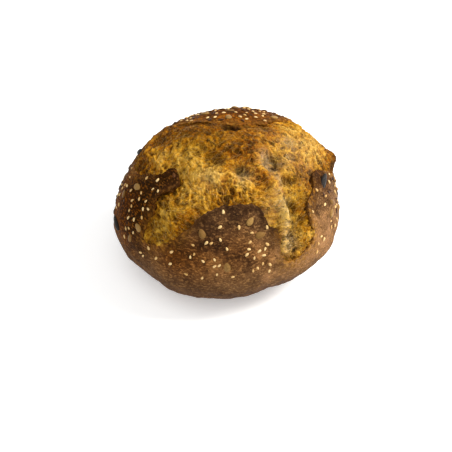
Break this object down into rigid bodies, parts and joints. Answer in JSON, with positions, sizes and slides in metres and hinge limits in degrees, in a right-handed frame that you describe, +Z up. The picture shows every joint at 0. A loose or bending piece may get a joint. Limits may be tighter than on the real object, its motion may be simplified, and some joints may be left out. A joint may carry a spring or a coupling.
{
  "type": "sunflower seed bread",
  "caption": "Round hearth loaf with a flat base, dark crust flaps round a torn golden star, and seeds baked onto the crust.",
  "frame": {"origin": "on the flat base, below the crown", "axes": "+Z up out of the base, -Y towards the side that the picture looks at, +X to its right"},
  "size_m": [0.177, 0.174, 0.1167],
  "materials": {
    "crust": "matte, dark brown baked crust",
    "crumb": "matte, torn golden crumb",
    "sesame": "satin, toasted sesame seeds",
    "kernel": "satin, toasted hulled sunflower kernels",
    "hull": "satin, black sunflower seeds in their hulls"
  },
  "bodies": {
    "root": {"loaf": "crust"}
  },
  "joints": []
}
